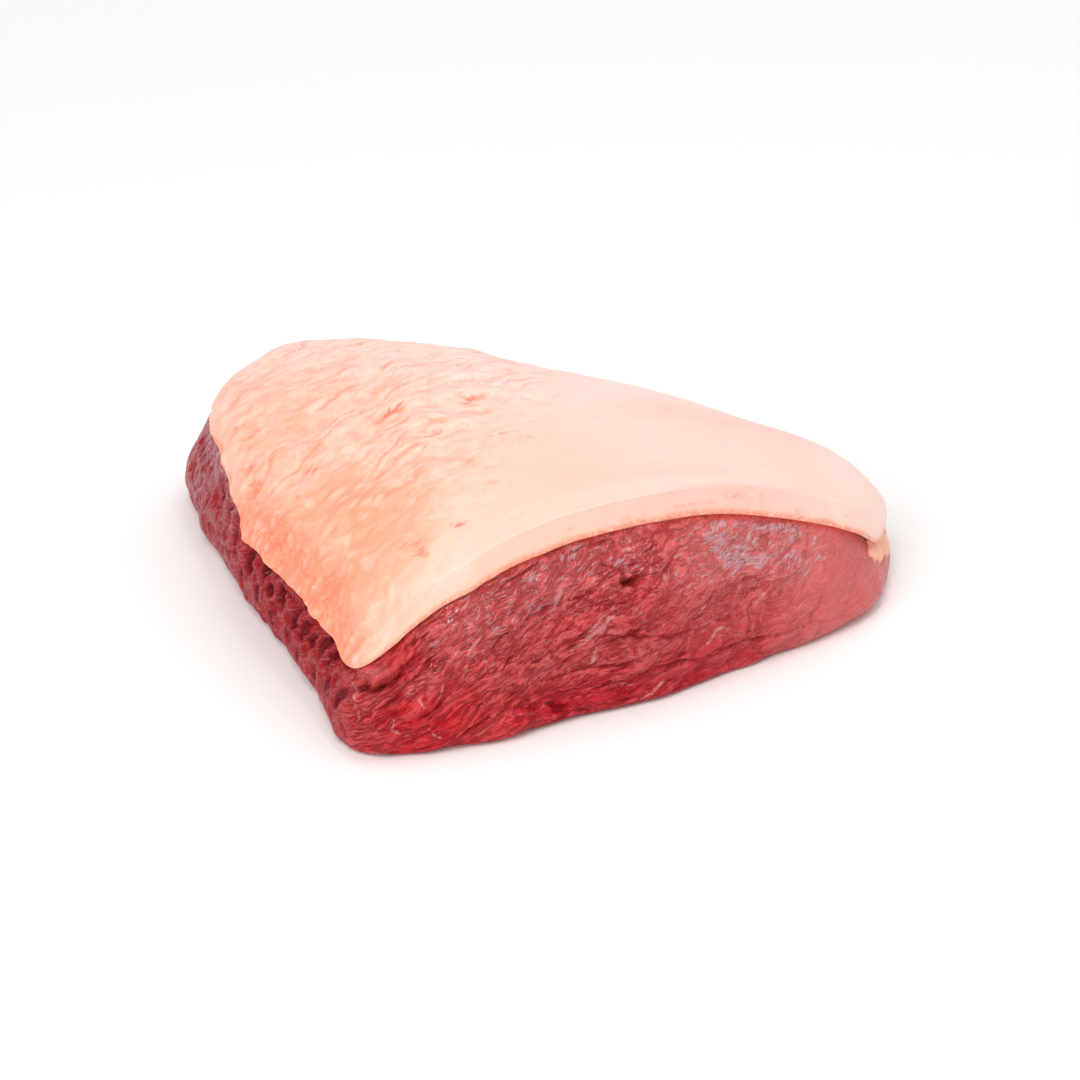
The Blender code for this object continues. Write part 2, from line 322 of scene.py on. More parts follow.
# Clefts and marbling that stand out on the front cut. Each route gives X and height on the surface.
# name: (half width, depth, points)
FRONT_CLEFTS = {
    "hole": (1.7, 4.0, ((27, 38.6), (31, 37.6), (36, 38.4))),
    "above_hole": (1.4, 1.3, ((22, 44), (27, 41.5), (30, 38.5))),
    "beside_hole": (0.9, 1.4, ((36, 38.4), (40, 39.4), (43, 41.5))),
    "long_cleft": (
        1.1, 2.2,
        ((20, 9), (28, 10), (38, 13.5), (45, 13), (53, 11), (62, 11), (71, 10), (80, 10), (99, 7)),
    ),
    "second_cleft": (0.8, 1.2, ((21, 25), (28, 24), (40, 22), (53, 20))),
    "third_cleft": (0.7, 0.9, ((6, 16), (16, 17), (27, 16.5), (36, 18))),
    "low_cleft": (1.0, 1.5, ((5, 9), (11, 7), (18, 2))),
    "middle_hollow": (1.9, 1.0, ((0, 33.5), (4, 34.5), (8, 36))),
    "fork": (0.9, 1.4, ((-10, 28.5), (-6, 31), (-3, 32))),
    "fork_below": (0.8, 1.1, ((-12, 21), (-8, 23))),
    "slanting": (1.5, 1.0, ((13, 34.5), (20, 38.5), (27, 41))),
    "under_fat_left": (0.8, 1.1, ((-7, 41), (-1, 43.5), (3, 46))),
    "under_fat_middle": (0.9, 1.3, ((18, 48), (25, 49))),
    "corner_upper": (1.7, 2.6, ((-46.5, 20), (-42.5, 20.5), (-38, 21.5), (-34, 24))),
    "corner_lower": (0.9, 1.1, ((-42, 15.5), (-37, 18.5), (-32, 22.5), (-26, 27.5))),
    "thin_middle": (0.8, 1.0, ((24, 22.5), (29, 24), (35, 25.5))),
    "right_of_film": (0.8, 1.0, ((72, 31), (78, 34), (83, 37))),
}
FRONT_VEINS = {
    "upper": (0.8, 0.3, ((4, 31), (8, 34.5), (10, 38), (12, 41.5))),
    "left": (0.6, 0.25, ((-18, 23), (-16, 26), (-14, 30), (-10, 35))),
    "far_left": (0.7, 0.3, ((-33, 19.8), (-30, 19), (-28, 15.5))),
    "middle": (1.1, 0.4, ((13, 23.5), (18, 25.5), (22, 27.5), (25, 30), (27, 32))),
    "middle_upper": (0.8, 0.3, ((17, 27), (22, 30), (26, 34))),
    "middle_lower": (0.8, 0.3, ((16, 17.5), (20, 20), (21, 23.5))),
    "by_hole": (1.8, 0.5, ((36, 40.5), (39, 38.5), (43, 36))),
    "bottom": (0.9, 0.4, ((36, 3), (38.5, 5.5), (41.5, 9))),
    "right": (1.0, 0.4, ((53, 15), (56, 18), (58.5, 19.5))),
    "right_fine": (0.5, 0.2, ((50, 24.5), (54, 28.5))),
    "corner_low": (0.6, 0.3, ((-36, 13.5), (-36.5, 10), (-33, 8))),
    "corner_edge": (0.7, 0.3, ((-49, 21), (-48.5, 17), (-46, 13), (-47, 9))),
    "low_streak": (0.6, 0.2, ((-4, 8.5), (3, 7.5))),
    "high_right": (0.5, 0.2, ((81, 16.5), (84, 18.5))),
    "long_streak": (0.5, 0.2, ((57, 27.5), (66, 28.5), (74, 30.5))),
    "upper_streak": (0.5, 0.2, ((45, 32.5), (55, 35.5))),
    "right_wisp": (0.8, 0.2, ((66, 20), (70, 23), (73, 26))),
}
ROUTE_STEP = 0.3
ROUTE_WAVERS = ((6.0, 1.1), (2.2, 0.45))  # span of each waver, and how far it goes
FAR_OFF = 5.0  # half widths past which a route no longer matters
SMALL_CLEFTS, SMALL_VEINS = 260, 46  # strewn at random besides the named ones
pick = random.Random(11)


def tree_of(places):
    """A search tree of those places."""
    tree = kdtree.KDTree(len(places))
    for index, place in enumerate(places):
        tree.insert(place, index)
    tree.balance()
    return tree


def run_through(corners, half_width, depth):
    """Close-set points of a wavering route: place, half width, depth and direction of each."""
    corners = np.array(corners, float)
    lengths = np.linalg.norm(np.diff(corners, axis=0), axis=1)
    along = np.concatenate([[0], np.cumsum(lengths)])
    count = max(5, int(along[-1] / ROUTE_STEP))
    marks = np.linspace(0, along[-1], count)
    places = np.column_stack([np.interp(marks, along, column) for column in corners.T])
    for span, reach in ROUTE_WAVERS:
        places += reach * np.array([noise.noise_vector(Vector(place) / span) for place in places])
    taper = np.sin(np.linspace(0.06, 0.94, count) * math.pi) ** 0.8
    ways = np.gradient(places, axis=0)
    ways /= np.linalg.norm(ways, axis=1, keepdims=True)
    swell = 1 + 0.5 * np.array([noise.noise(Vector(place) / 2.5) for place in places])
    return np.column_stack([places, half_width * (0.25 + 0.75 * taper) * swell, depth * taper, ways])


def front_runs(routes, slimmer):
    """The named routes of the front cut, laid on its surface."""
    choices = lean[on_side & (front > 0.4)]
    flat = choices * (1, 0, 1)
    tree = tree_of(flat[:, [0, 2, 1]])
    runs = []
    for half_width, depth, corners in routes:
        placed = [choices[tree.find((x, z, 0))[1]] for x, z in corners]
        runs.append(run_through(placed, half_width * slimmer, depth))
    return runs


def scattered_runs(count, lengths, half_widths, depths, turn):
    """Short routes along the grain, strewn over all the sides that run along it."""
    rows, columns = np.nonzero(on_side & (across < 0.4) & (climb > 0.06) & (climb < 0.95))
    runs = []
    for _ in range(count):
        chosen = pick.randrange(len(rows))
        row, column = rows[chosen], columns[chosen]
        start, out = lean[row, column], lean_out[row, column]
        slope = math.atan2(start[2] - FAN_FROM[1], start[0] - FAN_FROM[0]) + turn * pick.gauss(0, 1)
        way = np.array([math.cos(slope), 0, math.sin(slope)])
        way -= out * (way @ out)
        way /= max(np.linalg.norm(way), 1e-6)
        length = pick.uniform(*lengths)
        shares = (0, 0.5, 1)
        placed = [side_places[side_tree.find(start + way * length * share)[1]] for share in shares]
        if placed[-1][2] > 2:
            runs.append(run_through(placed, pick.uniform(*half_widths), pick.uniform(*depths)))
    return runs


def lie_of(runs, wanted):
    """Where each wanted point lies to the nearest route, in half widths, and the depth there."""
    found = np.concatenate(runs)
    tree = tree_of(found[:, :3])
    lie = np.full(lean.shape, FAR_OFF)
    depth = np.zeros(lean.shape[:2])
    for row, column in np.argwhere(wanted):
        place = lean[row, column]
        _, index, distance = tree.find(place)
        half_width = found[index, 3]
        if distance < FAR_OFF * half_width:
            off = (place - found[index, :3]) / half_width
            way = found[index, 5:8]
            beyond = off @ way
            sideways = off @ np.cross(lean_out[row, column], way)
            lie[row, column] = (sideways, beyond, 0)
            groove = math.exp(-(sideways**2) - beyond**2)
            lip = 0.3 * math.exp(-((sideways - 1.9) ** 2) - beyond**2)
            depth[row, column] = found[index, 4] * (groove - lip)
    return lie, depth


side_places = lean[on_side]
side_tree = tree_of(side_places)
cleft_runs = front_runs(FRONT_CLEFTS.values(), 0.75)
cleft_runs += scattered_runs(SMALL_CLEFTS, (3, 8), (0.35, 0.6), (0.5, 1.2), 0.15)
vein_runs = front_runs(FRONT_VEINS.values(), 0.8)
vein_runs += scattered_runs(SMALL_VEINS, (2.5, 9), (0.25, 0.45), (0.1, 0.2), 0.4)
wanted = on_side & (across < 0.75)
shaded_cleft, cleft_depth = lie_of(cleft_runs, wanted)
vein, vein_depth = lie_of(vein_runs, wanted)
relief -= 0.8 * cleft_depth * (1 - 0.85 * calm_end) - 0.8 * np.abs(vein_depth)

# The wet pits in a row below the fat's left rim. Each gives Y, height, half width, half height, depth
WALL_PITS = (
    (12, 25, 1.5, 4.2, 1.4), (3, 24, 1.7, 4.4, 1.8), (-8, 21, 2.1, 4.8, 2.4), (-20, 20, 2.4, 5.2, 2.9),
    (-31, 22.5, 2.8, 5.0, 3.4), (-36, 19.5, 1.6, 3.2, 2.3), (-42, 21, 2.9, 5.4, 3.6),
    (-52, 19.5, 2.5, 4.4, 2.9), (-58.5, 19, 2.2, 4.2, 2.8), (-63.5, 18.5, 1.7, 3.6, 2.2),
    (-69, 20.5, 2.4, 4.2, 3.0), (-75, 20.5, 1.8, 3.6, 2.4), (-78, 13.5, 1.7, 3.8, 1.9),
    (-86, 13.5, 1.5, 4.0, 1.7), (-26, 12.5, 1.8, 3.8, 1.7), (-47, 11, 1.9, 4.2, 1.8),
    (-57, 9.5, 1.7, 3.8, 1.6), (-35, 9, 1.6, 3.4, 1.4), (-67, 9, 1.8, 4.0, 1.7),
    (-14, 11, 1.6, 3.8, 1.4),
)
# The pits' mark, which paints dark shade into their hollows
shaded_pit = np.zeros(lean.shape[:2])
on_wall = (level_out[:, :, 0] < -0.35) & open_side
wobble = 0.5 * noise_on(lean, 3, 4.4)
for y, height, half_width, half_height, depth in WALL_PITS:
    beside = (lean_y - y + 0.25 * (lean_z - height)) / half_width
    above = (lean_z - height) / half_height
    shaded_hollow = np.exp(-(np.maximum(beside**2 + above**2 + wobble, 0) ** 1.6)) * on_wall
    relief -= depth * shaded_hollow * wall_fade
    shaded_pit = np.maximum(shaded_pit, shaded_hollow)

# Wet hollows on the front cut, most of them at the near corner. Each gives X, height, half length along
# the grain, half width and depth
FRONT_PITS = (
    (-45.5, 20.5, 3.2, 1.1, 1.8), (-40.5, 21.0, 3.0, 0.9, 1.5), (-35.5, 24.0, 2.8, 0.7, 1.0),
    (30.5, 38.0, 3.2, 0.8, 1.6), (-26.5, 29.5, 2.8, 0.7, 0.8),
)
FRONT_PIT_MARK = 0.42  # how dark they are, where 1 is a pit of the wall
on_front = on_side & (across < 0.6) & (lean_out[:, :, 1] < -0.2)
for x, height, half_length, half_width, depth in FRONT_PITS:
    slope = math.atan2(height - FAN_FROM[1], x - FAN_FROM[0])
    off_x, off_z = lean_x - x, lean_z - height
    beyond = (off_x * math.cos(slope) + off_z * math.sin(slope)) / half_length
    above = (off_z * math.cos(slope) - off_x * math.sin(slope)) / half_width
    shaded_hollow = np.exp(-(np.maximum(beyond**2 + above**2 + wobble, 0) ** 1.4)) * on_front
    relief -= depth * shaded_hollow
    shaded_pit = np.maximum(shaded_pit, FRONT_PIT_MARK * shaded_hollow)

# Knobs of trimmed flesh at the near corner, just below the point of the fat. Each gives X, height on
# the surface, size and how far it stands out. Only the tallest is redder and wetter than the rest.
TALL_KNOB = 1.5
KNOBS = (
    (-43.2, 24.0, 4.0, 1.7), (-37.5, 25.8, 3.2, 1.3), (-31.5, 29.5, 2.6, 0.9), (-47.5, 16.5, 2.4, 0.9),
    (-40.5, 15.6, 2.6, 0.9), (-34.5, 17.5, 2.4, 0.8),
)
knob = np.zeros(lean.shape[:2])
for x, z, size, height in KNOBS:
    reach = ((lean_x - x) / size) ** 2 + ((lean_z - z) / (0.6 * size)) ** 2
    lump = np.exp(-(reach**1.3)) * on_side * (lean_out[:, :, 1] < -0.2)
    relief += height * lump
    knob = np.maximum(knob, lump * (height > TALL_KNOB))

lean_shape = lean + lean_out * (relief * open_side)[:, :, None]
lean_shape[:, :, 2] = np.maximum(lean_shape[:, :, 2], 0)

# A tag of fat hangs down the end of the tip. Each part gives X, Y, height and size
TAG = ((109.5, -7, 18.5, 5.2), (113, -1, 16.5, 4.8), (107.5, -11.5, 20, 4.4), (108, -9, 23, 6.0))
TAG_THICKNESS = 0.9
tag = np.zeros(lean.shape[:2])
for x, y, z, size in TAG:
    tag = np.maximum(tag, np.exp(-(((lean - (x, y, z)) ** 2).sum(axis=2)) / size**2))
tag *= 1 + 0.55 * noise_on(lean, (3.4, 3.4, 5.5), 7.3) + 0.3 * noise_on(lean, (1.6, 1.6, 2.6), 2.9)
lean_shape += lean_out * (TAG_THICKNESS * smooth_step(0.3, 0.6, tag) * on_side)[:, :, None]

# The silvery film below the fat, partly real film and partly painted sheen: strongest at the right,
# fainter at the left and on the back
film_and_sheen_right = band(lean_x, 34, 56, 80, 98) * band(below_seam, 0.6, 2.5, 11, 24) * front
film_and_sheen_left = 0.62 * band(lean_x, -36, -14, 30, 44) * front * smooth_step(18, 8, below_seam)
film_and_sheen_back = 0.45 * (1 - front) * (1 - across) * smooth_step(20, 8, below_seam)

# The deep red flesh near the foot, and just below the point of the fat
low = smooth_step(22, 5, lean_z - 4 * smooth_step(5, -20, lean_x))
low = low * smooth_step(86, 54, lean_x) * (1 - 0.85 * across)
low *= (1 - 0.6 * smooth_step(-34, -42, lean_x)) * (1 - 0.5 * bell((lean_x + 11) / 7))
low = np.maximum(low, 0.8 * bell((lean_x + 34) / 6, (lean_z - 28) / 5) * (1 - across))
low *= 1 - 0.45 * smooth_step(-0.15, 0.35, noise_on(grain, (13, 3.2, 9), 6.4))

# Broad painted shade on the front cut. Each gives X, height, half length, half height and strength
FRONT_SHADE_SPOTS = (
    (50, 21, 27, 10, 0.8), (33, 27, 13, 8, 1.0), (45, 12, 12, 7, 1.0), (-1, 34, 9, 5, 1.0),
)
front_shade = np.zeros(lean.shape[:2])
for x, z, half_length, half_height, strength in FRONT_SHADE_SPOTS:
    spot = bell((lean_x - x) / half_length, (lean_z - z) / half_height)
    front_shade = np.maximum(front_shade, strength * spot * front)
lean_marks = {
    "grain": grain, "wall": wall, "across": across, "shaded_cleft": shaded_cleft, "vein": vein,
    "furrows": furrows, "shaded_pit": shaded_pit, "knob": knob, "low": low, "front_shade": front_shade, "calm": calm_end,
    # painted shade in the hollows of the relief
    "shaded_hollow": smooth_step(0.1, -1.6, relief) * on_side,
    "tag": tag * on_side,
    "seam_near": smooth_step(2.6, 0.3, below_seam) * (1 - across),
    "film_and_sheen_zone": np.maximum.reduce([film_and_sheen_right, film_and_sheen_left, film_and_sheen_back]),
    # a lilac painted reflection haze over the cut ends, more of it at the back
    "reflection_haze": across * smooth_step(-30, 30, lean_y),
    "membrane": across * smooth_step(-12, 20, lean_y) * smooth_step(9, 1, below_seam),
    "far_edge": bell((lean_x + 115) / 10, (lean_y - 54) / 10) * on_side,
    "parting": 1 - sunk,
}
lean_piece = wrapped_sheet("lean", lean_shape, lean_marks)


class Value:
    """A number, vector or colour in a material. Sums with it add the nodes that work them out."""

    def __init__(self, socket):
        self.socket = socket

    def __add__(self, other):
        return calc("ADD", self, other)

    def __sub__(self, other):
        return calc("SUBTRACT", self, other)

    def __rsub__(self, other):
        return calc("SUBTRACT", other, self)

    def __mul__(self, other):
        return calc("MULTIPLY", self, other)


def feed_node(node, feeds):
    """Feeds the node's inputs with values, or sets them to plain numbers and colours."""
    for socket, feed in feeds.items():
        if isinstance(feed, Value):
            node.id_data.links.new(feed.socket, node.inputs[socket])
        else:
            node.inputs[socket].default_value = feed


def add_node(kind, feeds, output=0, tree=None, **settings):
    """One output of a new node, in the tree of whatever feeds it unless a tree is given."""
    tree = tree or next(feed.socket.id_data for feed in feeds.values() if isinstance(feed, Value))
    node = tree.nodes.new(kind)
    for name, value in settings.items():
        setattr(node, name, value)
    feed_node(node, feeds)
    return Value(node.outputs[output])


def mark_of(tree, name, output="Fac"):
    """The value of one of the piece's own marks."""
    return add_node("ShaderNodeAttribute", {}, output, tree, attribute_name=name)


def part_of(vector, axis):
    """The X, Y or Z of a vector."""
    return add_node("ShaderNodeSeparateXYZ", {0: vector}, axis)


def calc(operation, first, second=0.0, clamp=False):
    """One step of arithmetic on two values."""
    return add_node("ShaderNodeMath", {0: first, 1: second}, operation=operation, use_clamp=clamp)


def larger(first, second):
    """The larger of two values."""
    return calc("MAXIMUM", first, second)


def rise(value, low, high, top=1.0):
    """0 where the value is below low and top where it is above high, with an S-shaped rise."""
    feeds = {"Value": value, "From Min": low, "From Max": high, "To Min": 0.0, "To Max": top}
    return add_node("ShaderNodeMapRange", feeds, "Result", interpolation_type="SMOOTHSTEP")


def tint(share, under, over):
    """The colour over laid on the colour under, by that share."""
    under, over = [(*colour, 1) if isinstance(colour, tuple) else colour for colour in (under, over)]
    return add_node("ShaderNodeMix", {0: share, 6: under, 7: over}, 2, data_type="RGBA")


def layered(tree, colour, layers):
    """A colour with others laid on it in turn. A layer gives where it lies, its strength and colour."""
    for where, strength, over in layers:
        where = mark_of(tree, where) if isinstance(where, str) else where
        colour = tint(where * strength, colour, over)
    return colour


def stretched(vector, spans):
    """The vector divided by a span along each of its axes."""
    return add_node("ShaderNodeMapping", {"Vector": vector, "Scale": tuple(1 / span for span in spans)})


def soft_noise(vector, spans, detail, roughness, distortion=0.0):
    """Smooth noise between 0 and 1, one bump for each span, or for each unit if there are none."""
    feeds = {
        "Vector": stretched(vector, spans) if spans else vector,
        "Scale": 1.0, "Detail": detail, "Roughness": roughness, "Distortion": distortion,
    }
    return add_node("ShaderNodeTexNoise", feeds, "Fac")


def flesh_mottle():
    """A node group for raw flesh and fat: broad and fine noise, drawn out by the vector it is given."""
    group = bpy.data.node_groups.new("flesh_mottle", "ShaderNodeTree")
    group.interface.new_socket("Vector", in_out="INPUT", socket_type="NodeSocketVector")
    for name in ("Broad", "Fine"):
        group.interface.new_socket(name, in_out="OUTPUT", socket_type="NodeSocketFloat")
    given = Value(group.nodes.new("NodeGroupInput").outputs["Vector"])
    closer = add_node("ShaderNodeVectorMath", {0: given, "Scale": 3.3}, operation="SCALE")
    patterns = {
        "Broad": soft_noise(given, None, 4, 0.62, 0.25),
        "Fine": soft_noise(closer, None, 5, 0.66, 0.35),
    }
    feed_node(group.nodes.new("NodeGroupOutput"), patterns)
    return group


MOTTLE = flesh_mottle()


def mottle(vector, spans):
    """The mottle's broad and its fine pattern, with bumps of that size."""
    broad = add_node("ShaderNodeGroup", {"Vector": stretched(vector, spans)}, "Broad", node_tree=MOTTLE)
    return broad, Value(broad.socket.node.outputs["Fine"])


def strength_near(lie, inner, outer, rough):
    """1 on a route and 0 away from it, read from how a point lies to it. Noise roughens the edge."""
    reach = add_node("ShaderNodeVectorMath", {0: lie}, "Value", operation="LENGTH")
    return 1 - rise(reach + (rough - 0.5) * 2.2, inner, outer)


def thin_line(level, width, broken, gap):
    """1 where a level passes through 0, as a line of that width, broken up by noise."""
    off = calc("ABSOLUTE", level) + broken * gap - 0.5 * gap
    return 1 - rise(off, 0.3 * width, width)


lean_finish = bpy.data.materials.new("raw_lean")
lean_finish.use_nodes = True
tree = lean_finish.node_tree
grain_at = mark_of(tree, "grain", "Vector")
wall_at = mark_of(tree, "wall", "Vector")
furrows_at = mark_of(tree, "furrows", "Vector")
across_at = mark_of(tree, "across")
calm_at = mark_of(tree, "calm")
low_at = mark_of(tree, "low")
reflection_haze_at = mark_of(tree, "reflection_haze")
film_and_sheen_at = mark_of(tree, "film_and_sheen_zone")
knob_at = mark_of(tree, "knob")
place = add_node("ShaderNodeTexCoord", {}, "Object", tree)
x_here = part_of(place, "X")
lively = 1 - calm_at * 0.65

# The patterns of the flesh: strands and patches along the grain, and the ends of the bundles
strands_broad, strands_fine = mottle(grain_at, (5.5, 1.5, 4))
patches_broad, patches_fine = mottle(grain_at, (15, 6, 11))
ends_broad, ends_fine = mottle(wall_at, (1.5, 3.6, 3))
fibre_noise = soft_noise(grain_at, (6.0, 0.62, 3.6), 3, 0.6, 0.45)
hair_noise = soft_noise(grain_at, (2.8, 0.36, 1.8), 2, 0.5, 0.3)
fibre_line = thin_line(fibre_noise - 0.5, 0.03, patches_fine, 0.3) * lively
fleck = rise(soft_noise(grain_at, (3.6, 0.7, 2.5), 3, 0.6, 0.4), 0.55, 0.72)
pore = rise(soft_noise(grain_at, (1.8, 0.75, 1.3), 2, 0.5, 0.3), 0.33, 0.25) * lively
# painted shade along the bottoms of the furrows
deep_furrow = thin_line(part_of(furrows_at, "X"), 0.055, patches_fine, 0.9)
strand_furrow = thin_line(part_of(furrows_at, "Y"), 0.055, patches_fine, 1.6)
torn_furrow = thin_line(part_of(furrows_at, "Z"), 0.07, strands_broad, 2.0)
furrow_shade = larger(larger(deep_furrow, strand_furrow), torn_furrow) * (1 - calm_at * 0.9)

# The upright marks that the knife left
KNIFE_ZONE, KNIFE_FADE = (0.058, 0.093), 0.006  # metres along X
knife = thin_line(soft_noise(place, (0.009, 0.03, 0.028), 3, 0.55, 0.5) - 0.5, 0.018, patches_fine, 0.3)
knife = knife * rise(x_here, KNIFE_ZONE[0], KNIFE_ZONE[0] + KNIFE_FADE)
knife = knife * rise(x_here, KNIFE_ZONE[1], KNIFE_ZONE[1] - KNIFE_FADE)

# The silvery film, partly real film and partly painted sheen, and the pale specks in it, which are
# painted glints
film_noise = soft_noise(grain_at, (5.5, 0.95, 3.6), 4, 0.64, 0.25)
film_broad = soft_noise(grain_at, (10, 6, 8), 2, 0.5, 0.3)
film_level = film_noise + (film_broad - 0.5) * 0.8 + (film_and_sheen_at - 1) * 0.32
film_and_sheen = rise(film_level, 0.475, 0.535) * rise(hair_noise, 0.36, 0.5) * (1 - knife * 0.8)
sheen_speck_zone = calc("ADD", film_and_sheen_at, rise(low_at, 0.3, 0.0, 0.35), True)
sheen_speck = rise(soft_noise(grain_at, (2.4, 0.6, 1.8), 3, 0.6, 0.5), 0.57, 0.65) * sheen_speck_zone * lively

vein = strength_near(mark_of(tree, "vein", "Vector"), 0.2, 1.3, strands_fine)
vein = vein * rise(patches_fine, 0.4, 0.56)
# painted shade along the clefts
shaded_cleft = strength_near(mark_of(tree, "shaded_cleft", "Vector"), 0.15, 1.1, strands_broad)
shaded_cleft = shaded_cleft * (1 - calm_at * 0.85)
# painted shade in the pits
shaded_pit = rise(mark_of(tree, "shaded_pit") + ends_fine * 0.25, 0.3, 0.75)

DEEP, RED, PINK = (0.59, 0.03, 0.035), (0.69, 0.068, 0.066), (0.76, 0.175, 0.165)
LILAC = (0.42, 0.17, 0.185)
flesh = tint(rise(strands_broad, 0.22, 0.66), DEEP, RED)
flesh = layered(tree, flesh, (
    (rise(patches_broad, 0.3, 0.74), 0.6, PINK),
    (rise(fibre_noise, 0.46, 0.68), 0.5, (0.73, 0.18, 0.17)),
    (rise(hair_noise, 0.52, 0.38), 0.45, (0.42, 0.012, 0.018)),
    (fleck, 0.4, (0.78, 0.3, 0.28)),
))

# The cut ends of the bundles are darker, with paler walls between them. A lilac painted reflection haze
# lies over the walls and the ends, more of it at the back
walls = rise(mark_of(tree, "parting"), 0.4, 0.9) * rise(ends_fine, 0.34, 0.56)
wall_colour = tint(reflection_haze_at * 0.9 + 0.1, (0.44, 0.04, 0.045), LILAC)
end_flesh = tint(rise(ends_broad, 0.36, 0.62), (0.18, 0.004, 0.008), (0.33, 0.028, 0.03))
end_flesh = layered(tree, end_flesh, (
    (walls, 0.75, wall_colour),
    (reflection_haze_at * rise(ends_broad, 0.4, 0.62), 0.6, LILAC),
    (mark_of(tree, "membrane") * rise(ends_broad, 0.3, 0.55), 0.75, (0.55, 0.38, 0.42)),
    (mark_of(tree, "far_edge") * rise(ends_broad, 0.34, 0.6), 0.55, (0.54, 0.02, 0.028)),
))
flesh = tint(across_at, flesh, end_flesh)

low_red = tint(rise(x_here, -0.008, 0.014), (0.78, 0.006, 0.02), (0.6, 0.014, 0.028))
flesh = layered(tree, flesh, (
    (calm_at, 0.6, (0.62, 0.15, 0.14)),
    # broad painted shade on the front cut
    ("front_shade", 0.5, (0.46, 0.03, 0.036)),
    (low_at, 0.9, low_red),
    (low_at * rise(fibre_noise, 0.47, 0.33), 0.7, (0.34, 0.003, 0.012)),
    (low_at * rise(fibre_noise, 0.54, 0.66), 0.5, (0.84, 0.13, 0.14)),
    (pore, 0.6, (0.32, 0.004, 0.012)),
    # painted shade in the hollows of the relief
    ("shaded_hollow", 0.35, (0.4, 0.008, 0.014)),
    (fibre_line, 0.4, (0.38, 0.008, 0.014)),
    # painted shade along the bottoms of the furrows
    (furrow_shade, 0.6, (0.34, 0.005, 0.011)),
    (knife, 0.4, (0.42, 0.03, 0.035)),
    # a pinker painted sheen over the film's zone, then the film with its painted sheen, then the painted
    # glints of the specks
    (film_and_sheen_at, 0.27, (0.72, 0.25, 0.24)),
    (film_and_sheen, 0.75, (0.58, 0.34, 0.37)),
    (sheen_speck, 0.75, (0.64, 0.36, 0.39)),
    (vein, 0.6, (0.72, 0.34, 0.34)),
    # painted shade along the clefts
    (shaded_cleft, 0.7, (0.3, 0.003, 0.009)),
    # painted shade in the pits
    (shaded_pit, 0.97, (0.15, 0.0, 0.004)),
    (knob_at, 0.75, (0.64, 0.045, 0.05)),
    (mark_of(tree, "seam_near") * rise(strands_fine, 0.36, 0.6), 0.8, (0.66, 0.05, 0.03)),
    (rise(mark_of(tree, "tag") + strands_broad * 0.3, 0.5, 0.64), 0.98, (1.0, 0.49, 0.32)),
))

coat = larger(film_and_sheen * 0.35, rise(strands_fine, 0.52, 0.66, 0.7)) * (1 - shaded_pit)
coat = larger(coat, shaded_pit * rise(ends_fine, 0.56, 0.62)) * (1 - rise(low_at, 0.0, 0.7, 0.85))
height = strands_fine + strands_broad * 0.7 + fleck * 0.3 + fibre_noise * 1.2 + hair_noise * 0.45
height = (height - fibre_line * 0.25 - furrow_shade * 0.5) * lively
heights = {0: across_at, 2: height, 3: ends_fine + ends_broad}
height = add_node("ShaderNodeMix", heights, data_type="FLOAT")
height = height + film_and_sheen * 0.2 - larger(shaded_cleft, knife) * 0.5
LEAN_BUMP = {"Height": height, "Strength": 1.0, "Distance": 0.6 * MM}
feed_node(tree.nodes["Principled BSDF"], {
    "Base Color": flesh,
    "Roughness": rise(strands_fine, 0.35, 0.7) * 0.3 + 0.22,
    "Specular IOR Level": 0.22,
    "Specular Tint": (1.0, 0.55, 0.6, 1),
    "Coat Weight": larger(coat, knob_at * 0.6),
    "Coat Roughness": 0.12,
    "Normal": add_node("ShaderNodeBump", LEAN_BUMP, "Normal"),
})
lean_piece.data.materials.append(lean_finish)

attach(lean_piece, "root")
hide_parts("lean_muscle")

# ---------------------------------------------------------------- fat cap
# The fat cap is one sheet of hard white fat, trimmed by hand: torn and blood-stained over the left
# half, smooth and creamy towards the tip, and cut down to the lean along the front.

FAT_SEGMENTS = 640
TOP_ROWS = 120  # steps from the middle to the last ring inside the rim
SOFT_ROWS = 27  # the outer ones of them, which round over into the cut edge
CREST_ROWS = 2  # steps from there to the crest above the cut edge
CUT_ROWS = 19  # steps down the cut edge
LIP_ROWS = 4  # steps under it
LIP_DROP = 0.9  # the cut edge hangs this far over the top of the lean
LIP_WAVER = 0.7
TIP_REACH, TIP_DROP = 2.4, -0.1  # at the thin tip the fat reaches further out and ends a bit higher
CREST_REACH = 1.6  # how far the crest above it reaches out there
RIM_PULL = 0.6  # how much the left rim rises for each millimetre that it draws back
EDGE_TOP = 2.92  # how far the rim's highest line lies above the last ring of its round
LEAN_BACK, LEAN_BACK_FRONT = 3.0, 4.6  # how far the cut edge leans back, and the same at the front
CREST_DROP, CREST_DROP_FRONT = 1.2, 2.5  # how far the top comes down to meet it
CORNER = (-46.0, -84.0)  # the point of the fat at the near corner, which reaches out and hangs lower
CORNER_SIZE, CORNER_REACH, CORNER_DROP = 8.0, 0.8, 1.7
EDGE_PASSES = 120
MIDDLE_DEPTH = 8.82  # depth of the fat over the middle of the lean
DEEPEST_DENT = 2.4

fat_peak, fat_rings = whole_rings("fat_cap")
peak = np.broadcast_to(fat_peak, fat_rings[0].shape)


